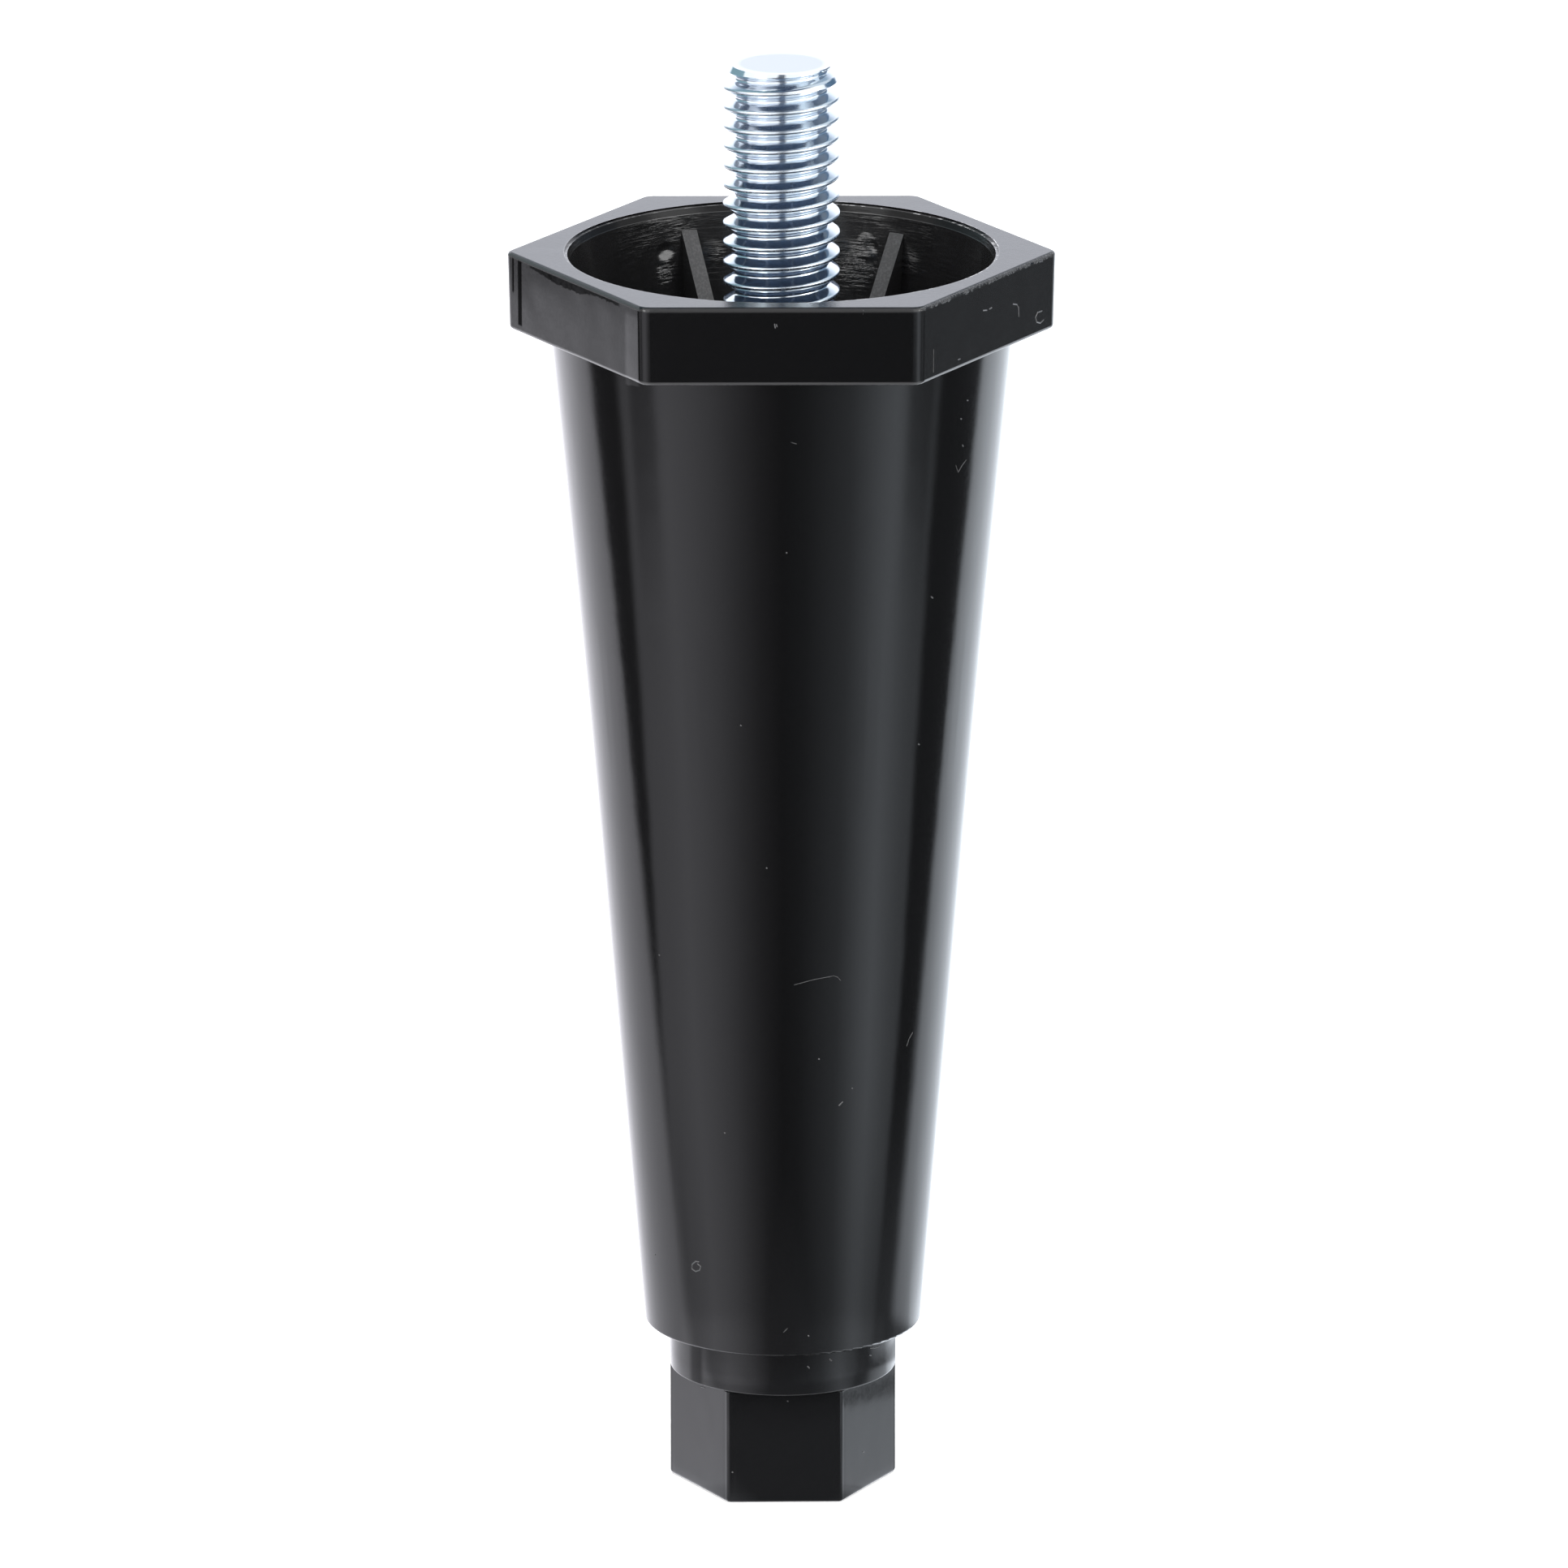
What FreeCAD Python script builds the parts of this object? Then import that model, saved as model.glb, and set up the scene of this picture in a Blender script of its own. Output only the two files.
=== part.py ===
import FreeCAD, Part
import math
import os

os.makedirs("parts", exist_ok=True)

# Adjustable furniture leg: a moulded leg with a hexagonal flange, a threaded
# stud moulded into it, and a screw foot in its lower end. Sizes in mm, +Z up,
# the floor at Z = 0.

# Levelling foot
foot_thread_radius = 7.9375
foot_hex_height = 9.42
foot_collar_height = 4.0
foot_collar_shoulder = 1.24
foot_corner_inset = 0.02
foot_hex_turn = 1.0
foot_edge_radius = 0.35
foot_base_chamfer = 0.3
foot_collar_edge = 0.2
foot_neck_height = 1.6
foot_neck_depth = 1.1
foot_lead_chamfer = 1.2
foot_core_wall = 2.9
foot_core_floor = 5.0
foot_core_draft = 0.5

# Leg shell
leg_length = 89.0
leg_end_overhang = 2.0
leg_end_edge = 0.25
shell_wall = 2.1
shell_floor_height = 36.7
waist_height = 53.8
waist_inset = 0.25
waist_blend = 8.0

# Hexagonal flange
flange_across_flats = 38.1
flange_thickness = 6.35
flange_ledge = 0.6
flange_draft = 1.1
flange_corner_radius = 1.1
flange_top_edge = 0.3
flange_bottom_edge = 0.36
rim_step_width = 0.23
rim_step_depth = 0.2
rim_slope_width = 0.2
rim_slope_depth = 0.7

# Central column and ribs
boss_drop = 15.7
boss_wall = 3.65
boss_edge = 0.4
socket_wall = 1.65
rib_count = 6
rib_thickness = 1.35
rib_turn = -3.6
rib_drop = 1.95

# Socket for the foot
thread_clearance = 0.05
socket_end_gap = 3.0
socket_mouth_chamfer = 0.8
relief_inset = 2.4
relief_height = 10.75
stud_seat_floor = 3.0

# Stud
stud_radius = 4.73
stud_projection = 15.3
stud_length = 44.45
stud_end_chamfer = 0.65
stud_thread_depth = 0.49
stud_neck_height = 1.0
stud_head_across_flats = 12.7
stud_head_height = 5.0
stud_head_chamfer = 0.5

# Heights that follow from the sizes above
leg_end = foot_hex_height + foot_collar_height
flange_top = leg_end + leg_length
flange_bottom = flange_top - flange_thickness
waist = leg_end + waist_height
shell_floor = leg_end + shell_floor_height
boss_top = flange_top - boss_drop
stud_top = flange_top + stud_projection
head_top = stud_top - stud_length
head_bottom = head_top - stud_head_height
relief_end = head_bottom - stud_seat_floor
socket_end = relief_end - relief_height
foot_stem_top = socket_end - socket_end_gap

# Radii that follow from the sizes above
collar_radius = foot_thread_radius + foot_collar_shoulder
socket_radius = foot_thread_radius + thread_clearance
column_foot_radius = socket_radius + socket_wall
boss_radius = stud_radius + boss_wall
end_radius = collar_radius + leg_end_overhang
shell_top_radius = flange_across_flats / 2 - flange_ledge


def vec(r, z):
    return FreeCAD.Vector(r, 0, z)


def waist_radius():
    """Radius at the waist: just inside the straight line from end to flange."""
    share = (waist - leg_end) / (flange_bottom - leg_end)
    return end_radius + share * (shell_top_radius - end_radius) - waist_inset


def shell_radius(z):
    """Outer radius of the tapered shell at a height, carried on through the flange."""
    middle = waist_radius()
    if z < waist:
        return end_radius + (middle - end_radius) * (z - leg_end) / (waist - leg_end)
    return middle + (shell_top_radius - middle) * (z - waist) / (flange_bottom - waist)


def profile_wire(corners):
    """Closed wire through (radius, height, reach), each reach a tangent arc."""
    count = len(corners)
    spans = []
    for index in range(count):
        here = vec(corners[index][0], corners[index][1])
        reach = corners[index][2]
        if reach == 0:
            spans.append((here, None, here))
            continue
        before = vec(corners[index - 1][0], corners[index - 1][1])
        after = vec(corners[(index + 1) % count][0], corners[(index + 1) % count][1])
        back = (before - here).normalize()
        ahead = (after - here).normalize()
        half = back.getAngle(ahead) / 2
        radius = reach * math.tan(half)
        bisector = (back + ahead).normalize()
        middle = here + bisector * (radius / math.sin(half) - radius)
        spans.append((here + back * reach, middle, here + ahead * reach))
    edges = []
    for index in range(count):
        start, middle, finish = spans[index]
        if middle is not None:
            edges.append(Part.Arc(start, middle, finish).toShape())
        following = spans[(index + 1) % count][0]
        if finish.distanceToPoint(following) > 1e-7:
            edges.append(Part.LineSegment(finish, following).toShape())
    return Part.Wire(edges)


def turned(corners):
    """Solid of revolution about Z from a closed (radius, height, reach) outline."""
    face = Part.Face(profile_wire(corners))
    return face.revolve(FreeCAD.Vector(0, 0, 0), FreeCAD.Vector(0, 0, 1), 360)


def hexagon(across_flats, z, corner_radius, turn):
    """Hexagon wire with corners towards +X and -X before the turn, corners rounded."""
    corner = across_flats / math.sqrt(3)
    reach = corner_radius * math.tan(math.radians(30))
    points = []
    for index in range(6):
        angle = math.radians(60 * index)
        points.append(FreeCAD.Vector(corner * math.cos(angle), corner * math.sin(angle), z))
    edges = []
    starts = []
    ends = []
    for index in range(6):
        here = points[index]
        back = (points[index - 1] - here).normalize()
        ahead = (points[(index + 1) % 6] - here).normalize()
        outward = FreeCAD.Vector(here.x, here.y, 0).normalize()
        crown = here - outward * (corner_radius / math.cos(math.radians(30)) - corner_radius)
        starts.append(here + back * reach)
        ends.append(here + ahead * reach)
        edges.append(Part.Arc(starts[-1], crown, ends[-1]).toShape())
    for index in range(6):
        edges.append(Part.LineSegment(ends[index], starts[(index + 1) % 6]).toShape())
    wire = Part.Wire(Part.__sortEdges__(edges))
    wire.rotate(FreeCAD.Vector(0, 0, 0), FreeCAD.Vector(0, 0, 1), turn)
    return wire


def edges_at(shape, z):
    """Edges that lie wholly in one horizontal plane."""
    found = []
    for edge in shape.Edges:
        box = edge.BoundBox
        if abs(box.ZMin - z) < 1e-6 and abs(box.ZMax - z) < 1e-6:
            found.append(edge)
    return found


def flange():
    """Hexagonal flange plate with moulding draft and eased edges."""
    slope = math.tan(math.radians(flange_draft))
    narrow = flange_across_flats - 2 * slope * flange_thickness
    low = hexagon(narrow, flange_bottom, flange_corner_radius, 0)
    high = hexagon(flange_across_flats, flange_top, flange_corner_radius, 0)
    plate = Part.makeLoft([low, high], True, True)
    plate = plate.makeFillet(flange_bottom_edge, edges_at(plate, flange_bottom))
    return plate.makeFillet(flange_top_edge, edges_at(plate, flange_top))


def shell_outside():
    """Tapered outside of the leg, from its lower end up into the flange."""
    inside_flange = (flange_bottom + flange_top) / 2
    return turned([
        (0, leg_end, 0),
        (end_radius, leg_end, leg_end_edge),
        (waist_radius(), waist, waist_blend),
        (shell_top_radius, flange_bottom, 0),
        (shell_top_radius, inside_flange, 0),
        (0, inside_flange, 0),
    ])


def recess_outline():
    """Open top of the leg: a cavity parallel to the outside, with a ledge at the rim."""
    rim = shell_radius(flange_top - rim_slope_depth) - shell_wall
    ledge = rim + rim_slope_width
    step = ledge + rim_step_width
    return turned([
        (0, shell_floor, 0),
        (shell_radius(shell_floor) - shell_wall, shell_floor, 0),
        (waist_radius() - shell_wall, waist, waist_blend),
        (rim, flange_top - rim_slope_depth, 0),
        (ledge, flange_top - rim_step_depth, 0),
        (step, flange_top - rim_step_depth, 0),
        (step, flange_top + 1, 0),
        (0, flange_top + 1, 0),
    ])


def column():
    """Drafted column that holds the stud above and the foot's socket below."""
    return turned([
        (0, shell_floor - 1, 0),
        (column_foot_radius, shell_floor - 1, 0),
        (column_foot_radius, shell_floor, 0),
        (boss_radius, boss_top, boss_edge),
        (0, boss_top, 0),
    ])


def rib(angle):
    """One radial rib: its top slopes from near the rim down to the column's top."""
    wall_top = flange_top - rib_drop
    wall_radius = shell_radius(wall_top) - shell_wall
    rise = (wall_top - boss_top) / (wall_radius - boss_radius)
    beyond = wall_radius + shell_wall / 2
    outline = [
        vec(0, shell_floor - 1),
        vec(beyond, shell_floor - 1),
        vec(beyond, wall_top + rise * (beyond - wall_radius)),
        vec(boss_radius, boss_top),
        vec(boss_radius - boss_edge, boss_top - boss_edge),
        vec(0, boss_top - boss_edge),
    ]
    face = Part.Face(Part.makePolygon(outline + outline[:1]))
    face.translate(FreeCAD.Vector(0, -rib_thickness / 2, 0))
    plate = face.extrude(FreeCAD.Vector(0, rib_thickness, 0))
    plate.rotate(FreeCAD.Vector(0, 0, 0), FreeCAD.Vector(0, 0, 1), angle)
    return plate


def recess_core():
    """Everything the recess leaves open, like the core of its mould."""
    core = recess_outline().cut(column())
    for index in range(rib_count):
        core = core.cut(rib(rib_turn + 360.0 * index / rib_count))
    return core


def foot_socket():
    """Bore for the foot's thread, its lead-in and the relief above it."""
    mouth = socket_radius + socket_mouth_chamfer
    relief = socket_radius - relief_inset
    return turned([
        (0, leg_end - 1, 0),
        (mouth, leg_end - 1, 0),
        (mouth, leg_end, 0),
        (socket_radius, leg_end + socket_mouth_chamfer, 0),
        (socket_radius, socket_end, 0),
        (relief, socket_end, 0),
        (relief, relief_end, 0),
        (0, relief_end, 0),
    ])


def mounting_stud():
    """Stud: threaded end, plain shank and a hexagonal head for the moulding to grip."""
    shank_radius = stud_radius - stud_thread_depth
    thread_start = boss_top + stud_neck_height
    shank = turned([
        (0, head_top - 1, 0),
        (shank_radius, head_top - 1, 0),
        (shank_radius, thread_start, 0),
        (stud_radius, thread_start + stud_thread_depth, 0),
        (stud_radius, stud_top - stud_end_chamfer, 0),
        (stud_radius - stud_end_chamfer, stud_top, 0),
        (0, stud_top, 0),
    ])
    flats = hexagon(stud_head_across_flats, head_bottom, 0.1, 0)
    head = Part.Face(flats).extrude(FreeCAD.Vector(0, 0, stud_head_height))
    corner = stud_head_across_flats / math.sqrt(3)
    crown = turned([
        (0, head_bottom, 0),
        (corner - stud_head_chamfer, head_bottom, 0),
        (corner, head_bottom + stud_head_chamfer, 0),
        (corner, head_top, 0),
        (0, head_top, 0),
    ])
    return shank.fuse(head.common(crown)).removeSplitter()


def leg_body(stud):
    """Moulded leg: flange and shell, less the recess, the socket and the stud."""
    outside = shell_outside().fuse(flange())
    hollow = outside.cut(recess_core()).cut(foot_socket())
    return hollow.cut(stud).removeSplitter()


def levelling_foot():
    """Screw foot: hexagon, round collar and a stem cored from above."""
    crown = collar_radius - foot_corner_inset
    trimmed = foot_edge_radius * (1 / math.cos(math.radians(30)) - 1)
    across_flats = (crown + trimmed) * math.sqrt(3)
    base = hexagon(across_flats, 0, foot_edge_radius, foot_hex_turn)
    hexagonal = Part.Face(base).extrude(FreeCAD.Vector(0, 0, foot_hex_height + 0.5))
    hexagonal = hexagonal.makeChamfer(foot_base_chamfer, edges_at(hexagonal, 0))
    neck = foot_thread_radius - foot_neck_depth
    stem = turned([
        (0, foot_hex_height, 0),
        (collar_radius, foot_hex_height, foot_collar_edge),
        (collar_radius, leg_end, 0),
        (neck, leg_end, 0),
        (neck, leg_end + foot_neck_height - foot_neck_depth / 2, 0),
        (foot_thread_radius, leg_end + foot_neck_height + foot_neck_depth / 2, 0),
        (foot_thread_radius, foot_stem_top - foot_lead_chamfer, 0),
        (foot_thread_radius - foot_lead_chamfer, foot_stem_top, 0),
        (0, foot_stem_top, 0),
    ])
    return hexagonal.fuse(stem).cut(foot_core()).removeSplitter()


def foot_core():
    """Blind hole that keeps the foot's walls even, slightly drafted."""
    mouth = foot_thread_radius - foot_core_wall
    depth = foot_stem_top - foot_core_floor
    narrow = mouth - depth * math.tan(math.radians(foot_core_draft))
    return turned([
        (0, foot_core_floor, 0),
        (narrow, foot_core_floor, 0.5),
        (mouth, foot_stem_top, 0),
        (mouth, foot_stem_top + 1, 0),
        (0, foot_stem_top + 1, 0),
    ])


stud = mounting_stud()
stud.exportStep("parts/mounting_stud.step")
leg_body(stud).exportStep("parts/leg_body.step")
levelling_foot().exportStep("parts/levelling_foot.step")
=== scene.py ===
import math
from types import SimpleNamespace

import bmesh
import bpy
from mathutils import Matrix, Vector
from mathutils.bvhtree import BVHTree


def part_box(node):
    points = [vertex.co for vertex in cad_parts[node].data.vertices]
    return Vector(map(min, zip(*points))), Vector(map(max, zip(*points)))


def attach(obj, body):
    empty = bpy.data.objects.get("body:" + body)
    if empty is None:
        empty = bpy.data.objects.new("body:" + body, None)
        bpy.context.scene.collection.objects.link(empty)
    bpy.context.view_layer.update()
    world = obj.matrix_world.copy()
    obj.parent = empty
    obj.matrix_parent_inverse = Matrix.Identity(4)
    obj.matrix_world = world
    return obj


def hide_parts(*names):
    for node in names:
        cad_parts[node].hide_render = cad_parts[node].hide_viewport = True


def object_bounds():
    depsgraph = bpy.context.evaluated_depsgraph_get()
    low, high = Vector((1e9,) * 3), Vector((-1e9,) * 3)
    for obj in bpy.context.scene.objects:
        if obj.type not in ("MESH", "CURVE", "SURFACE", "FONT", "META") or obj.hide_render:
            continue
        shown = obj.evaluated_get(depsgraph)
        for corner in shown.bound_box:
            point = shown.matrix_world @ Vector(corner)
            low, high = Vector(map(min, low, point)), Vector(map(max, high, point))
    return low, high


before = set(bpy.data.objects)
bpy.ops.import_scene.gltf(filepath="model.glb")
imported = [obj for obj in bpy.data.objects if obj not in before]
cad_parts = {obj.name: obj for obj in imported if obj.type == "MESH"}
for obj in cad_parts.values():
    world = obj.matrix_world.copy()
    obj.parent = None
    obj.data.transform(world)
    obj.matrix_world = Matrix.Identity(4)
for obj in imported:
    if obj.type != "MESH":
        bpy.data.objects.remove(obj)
cad_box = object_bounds()
scene = bpy.context.scene

# Lengths are in millimetres unless a comment says otherwise, and MM turns them into metres
MM = 0.001
BACK = math.pi / 2
FRONT = -math.pi / 2
FULL_TURN = 2 * math.pi
DEGREES = 180.0 / math.pi
WHITE = (1.0, 1.0, 1.0, 1.0)

# Camera: focal length and picture width in pixels of the square photograph, width of the
# sensor, place and angles
FOCAL_PIXELS = 18487.0
PHOTO_PIXELS = 1932.0
CAMERA_SENSOR = 36.0
CAMERA_PLACE = (0.562, -1162.77, 385.77)
CAMERA_PITCH = math.radians(15.731)
CAMERA_YAW = math.radians(-0.0202)
CAMERA_ROLL = math.radians(-0.0664)

# Lamps: name, place and width in metres, and power in watts
LAMPS = (("key_left", (-0.55, -0.55, 0.55), 0.6, 5.0),
         ("key_right", (0.55, -0.55, 0.55), 0.6, 5.0),
         ("top", (0.0, 0.1, 0.9), 0.8, 9.0))
LAMP_TARGET = (0.0, 0.0, 0.05)

# Heights of the three solids
STUD_LOW, STUD_HIGH = (corner.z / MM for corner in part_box("mounting_stud"))
FOOT_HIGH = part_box("levelling_foot")[1].z / MM
LEG_LOW, FLANGE_TOP = (corner.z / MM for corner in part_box("leg_body"))

# Leg: outside radii and heights, and the radius that its shell gains per millimetre
FLANGE_CORNER = 21.8
FLANGE_HEIGHT = 6.35
RIM_RADIUS = 17.33
WAIST_HEIGHT = 67.22
WAIST_RADIUS = 15.66
SHELL_SLOPE = 0.0967

# Stud: 3/8 inch, 16 threads per inch; a crest passes the front at STUD_CREST_FRONT. The
# run-out, the fade, the lead and the end's slope are changes of radius per millimetre.
STUD_PITCH = 1.5875
STUD_CREST = 4.66
STUD_ROOT = 3.72
STUD_SHANK = 4.24
STUD_SHANK_EDGE = 0.1
STUD_FILLET = 0.2
STUD_CREST_FRONT = 114.69
STUD_THREAD_START = 87.8
STUD_RUN_OUT = 0.6
STUD_FADE = 0.3
STUD_END = 4.0
STUD_END_LAND = 0.22
STUD_END_SLOPE = 1.9
STUD_LEAD = 0.45
STUD_HEAD_HEIGHT = 5.0
STUD_HEAD_FLATS = 12.7
STUD_HEAD_EDGE = 0.1
STUD_HEAD_CHAMFER = 0.5
STUD_FACETS = 144
STUD_SHARP = 42

# Foot: hexagon, collar, neck and a coarse moulded thread, 11 threads per inch
FOOT_HEX_HEIGHT = 9.42
FOOT_HEX_TURN = math.radians(1.0)
FOOT_HEX_CORNER = 9.1575
FOOT_HEX_EDGE = 0.35
FOOT_BASE_CHAMFER = 0.3
FOOT_BASE_RIM = 0.05
FOOT_COLLAR = 9.1775
FOOT_COLLAR_EDGE = 0.2
FOOT_COLLAR_TOP_EDGE = 0.05
FOOT_NECK = 6.84
FOOT_NECK_EDGE = 0.05
FOOT_FILLET = 0.2
FOOT_CREST = 7.93
FOOT_ROOT = 6.78
FOOT_PITCH = 2.3091
FOOT_THREAD_START = 15.0
FOOT_RUN_OUT = 0.9
FOOT_LEAD_CHAMFER = 1.2
FOOT_BORE = 5.0
FOOT_BORE_FLOOR = 5.0
FOOT_BORE_MOUTH = 0.3
FOOT_BORE_DRAFT = 0.4
FOOT_BORE_CORNER = 0.5
FOOT_FACETS = 180
FOOT_SHARP = 35

# Heights over the floor and over the collar's lower end at which an extra row keeps the
# shading even
FOOT_HEX_ROW = 1.0
FOOT_COLLAR_ROW = 1.5

# The hexagon's rounding towards the collar, by how much smaller it is and how far below,
# and angles beside a corner of the hexagon, in degrees
FOOT_HEX_TOP = ((0.0, 0.18), (0.02, 0.06), (0.1, 0.0))
FOOT_CORNER_STEPS = (-1.6, -1.2, -0.8, -0.4, 0.4, 0.8, 1.2, 1.6)

# Half a thread from crest to root, by share of the pitch: the round crest by its drop, the
# straight flank, and the round root by its rise
FLANK_ANGLE = math.radians(60)
THREAD_CREST = ((0.0, 0.0), (0.035, 0.004), (0.07, 0.02), (0.095, 0.055))
THREAD_FLANK = (0.15, 0.22, 0.29, 0.345)
THREAD_ROOT = ((0.39, 0.06), (0.44, 0.018), (0.5, 0.0))

# Distances in metres below which points are one point and an edge is none, and the angle
# below which two angles are one
SAME_POINT = 2e-7
NO_EDGE = 1e-7
SAME_ANGLE = math.radians(0.1)


def link(obj):
    """Puts an object into the scene."""
    scene.collection.objects.link(obj)
    return obj


def add_lamps():
    """Soft lamps for diffuse light; what gloss reflects is the floor and the world."""
    for name, place, width, power in LAMPS:
        lamp = bpy.data.lights.new(name, "AREA")
        lamp.size = width
        lamp.energy = power
        obj = link(bpy.data.objects.new(name, lamp))
        obj.location = place
        direction = Vector(LAMP_TARGET) - Vector(place)
        obj.rotation_euler = direction.to_track_quat("-Z", "Y").to_euler()
        obj.visible_glossy = False
        obj.visible_camera = False


def add_camera():
    """Camera at the photograph's viewing angle, from a fit to the object's corners."""
    pitch, yaw, roll = CAMERA_PITCH, CAMERA_YAW, CAMERA_ROLL
    forward = Vector((math.sin(yaw) * math.cos(pitch),
                      math.cos(yaw) * math.cos(pitch), -math.sin(pitch)))
    right = Vector((math.cos(yaw), -math.sin(yaw), 0.0))
    up = right.cross(forward)
    right, up = (math.cos(roll) * right + math.sin(roll) * up,
                 math.cos(roll) * up - math.sin(roll) * right)
    data = bpy.data.cameras.new("camera")
    data.sensor_width = CAMERA_SENSOR
    data.lens = data.sensor_width * FOCAL_PIXELS / PHOTO_PIXELS
    camera = link(bpy.data.objects.new("camera", data))
    place = Matrix((right, up, -forward)).transposed().to_4x4()
    place.translation = Vector(CAMERA_PLACE) * MM
    camera.matrix_world = place
    scene.camera = camera


class Nodes:
    """Short way to build a node tree."""

    def __init__(self, tree):
        self.tree = tree
        self.tree.nodes.clear()

    def add(self, kind, inputs=None, **settings):
        """Node of a kind; an input is a value or the output that it is linked to."""
        node = self.tree.nodes.new(kind)
        for key, value in settings.items():
            setattr(node, key, value)
        for key, value in (inputs or {}).items():
            if isinstance(value, bpy.types.NodeSocket):
                self.tree.links.new(value, node.inputs[key])
            else:
                node.inputs[key].default_value = value
        return node

    def math(self, operation, a, b=0.0):
        return self.add("ShaderNodeMath", {0: a, 1: b}, operation=operation).outputs[0]

    def plus(self, *values):
        total = values[0]
        for value in values[1:]:
            total = self.math("ADD", total, value)
        return total

    def times(self, *values):
        total = values[0]
        for value in values[1:]:
            total = self.math("MULTIPLY", total, value)
        return total

    def minus(self, a, b):
        return self.math("SUBTRACT", a, b)

    def step(self, value, low, high, to_low=0.0, to_high=1.0):
        """Smooth step between two values."""
        node = self.add("ShaderNodeMapRange",
                        {"Value": value, "From Min": low, "From Max": high,
                         "To Min": to_low, "To Max": to_high},
                        interpolation_type="SMOOTHSTEP")
        return node.outputs[0]

    def band(self, value, low, high, soft):
        """One between low and high, with soft ends."""
        return self.times(self.step(value, low - soft, low),
                          self.step(value, high, high + soft, 1.0, 0.0))

    def mix(self, factor, a, b):
        node = self.add("ShaderNodeMix", {0: factor, 2: a, 3: b}, data_type="FLOAT")
        return node.outputs[0]

    def mix_color(self, factor, a, b):
        node = self.add("ShaderNodeMix", {0: factor, 6: a, 7: b}, data_type="RGBA")
        return node.outputs[2]

    def mix_shader(self, factor, a, b):
        return self.add("ShaderNodeMixShader", {0: factor, 1: a, 2: b}).outputs[0]

    def split(self, vector):
        """The x, y and z of a vector."""
        return self.add("ShaderNodeSeparateXYZ", {0: vector}).outputs

    def radius(self, x, y):
        """Distance from the leg's axis."""
        return self.math("SQRT", self.plus(self.times(x, x), self.times(y, y)))

    def line(self, value, points, scale):
        """Value read off a line through (place, height) points; scale is the largest place.
        Heights are stored halved, so that they stay under one."""
        node = self.add("ShaderNodeValToRGB", {0: self.math("DIVIDE", value, scale)})
        elements = node.color_ramp.elements
        while len(elements) < len(points):
            elements.new(0.5)
        for element, (place, height) in zip(elements, points):
            element.position = place / scale
            element.color = (height / 2, height / 2, height / 2, 1.0)
        return self.times(node.outputs[0], 2.0)

    def distance(self, vector, place):
        node = self.add("ShaderNodeVectorMath", {0: vector, 1: place}, operation="DISTANCE")
        return node.outputs["Value"]

    def noise(self, vector, scale, detail=2.0, roughness=0.5):
        node = self.add("ShaderNodeTexNoise", {"Vector": vector, "Scale": scale,
                                               "Detail": detail, "Roughness": roughness})
        return node.outputs[0]


# What gloss sees on the floor, by the angle in degrees from the camera's side and by the
# distance from the axis in metres: dark in front between two light boxes, and white beyond
# the object's side shadows. The boxes are lines through (angle, brightness) points. Far
# away and in the world there is a narrow gap in front, from dark to light at its edge.
BOX_LEFT = ((0, 0.09), (12, 0.22), (24, 0.47), (36, 0.79), (49, 1.06), (61, 1.2),
            (68, 1.06), (76, 0.92), (86, 0.78), (95, 0.72))
BOX_RIGHT = ((0, 0.09), (12, 0.15), (24, 0.31), (36, 0.48), (44, 0.78), (52, 1.12), (60, 1.36),
             (66, 1.15), (73, 0.88), (80, 0.68), (90, 0.62))
HALF_TURN = 180.0
GAP_MIDDLE = 1.5
GAP_EDGE = (4.0, 13.0)
GAP_LIGHT = (0.14, 1.3)
NEAR = (0.03, 0.1)
FAR = (0.38, 0.46)
TINT_LEFT = (0.98, 0.975, 1.045, 1.0)
TINT_RIGHT = (0.93, 0.995, 1.075, 1.0)

# Floor: half its width, how far it lies under the foot, its colour and its own glow
FLOOR_HALF = 3000.0
FLOOR_DROP = 0.03
FLOOR_COLOR = (0.9, 0.9, 0.9, 1.0)
FLOOR_GLOW = 0.35

# The studio that gloss sees above the floor, and the light that everything else gets
SIDE_LEFT = (0.26, 0.4, 0.44, 1.0)
SIDE_RIGHT_LOW = (0.1, 0.17, 0.25, 1.0)
SIDE_RIGHT_HIGH = (0.8, 0.88, 0.95, 1.0)
WALL_LOW = (1.4, 1.44, 1.58, 1.0)
WALL_MIDDLE = (0.29, 0.4, 0.5, 1.0)
WALL_TOP = (0.04, 0.05, 0.08, 1.0)
CEILING = (0.05, 0.07, 0.12, 1.0)
AMBIENT = 0.55


def bearing(n, x, y):
    """Angle in degrees from the camera's side, its size, and whether it is to the right."""
    angle = n.times(n.math("ARCTAN2", x, n.times(y, -1.0)), DEGREES)
    return angle, n.math("ABSOLUTE", angle), n.math("GREATER_THAN", angle, 0.0)


def front_gap(n, angle):
    """Two bright boxes in front with a narrow dark gap between them."""
    return n.step(n.math("ABSOLUTE", n.minus(angle, GAP_MIDDLE)), *GAP_EDGE, *GAP_LIGHT)


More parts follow.
